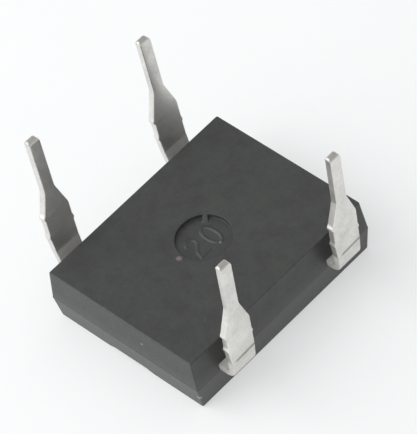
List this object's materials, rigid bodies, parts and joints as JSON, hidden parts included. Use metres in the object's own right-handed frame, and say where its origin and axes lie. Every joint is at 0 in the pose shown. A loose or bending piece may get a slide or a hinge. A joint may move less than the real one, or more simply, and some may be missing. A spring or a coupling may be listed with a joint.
{
  "type": "bridge rectifier",
  "caption": "Flat moulded block with formed flat leads rising from its two long sides, a dual in-line full-wave diode bridge lying on its marked face.",
  "frame": {"origin": "centre of the marked face, on the surface that the part lies on", "axes": "+X along the body from lead to lead of one row, +Y across the two rows towards the positive and negative leads, +Z out of the board face, along the leads"},
  "size_m": [0.0082, 0.0084, 0.0067],
  "materials": {
    "resin": "dark grey epoxy moulding compound with a fine matt grain",
    "tinned_lead": "tin-plated copper strip, satin",
    "silicon": "sawn silicon, smooth grey",
    "solder": "dull solder"
  },
  "bodies": {
    "root": {"moulded_body": "resin", "lead_ac_1": "tinned_lead", "lead_ac_2": "tinned_lead", "lead_positive": "tinned_lead", "lead_negative": "tinned_lead", "diode_chip_1": "silicon", "diode_chip_2": "silicon", "diode_chip_3": "silicon", "diode_chip_4": "silicon", "solder_lower_1": "solder", "solder_lower_2": "solder", "solder_lower_3": "solder", "solder_lower_4": "solder", "solder_upper_1": "solder", "solder_upper_2": "solder", "solder_upper_3": "solder", "solder_upper_4": "solder"}
  },
  "joints": []
}
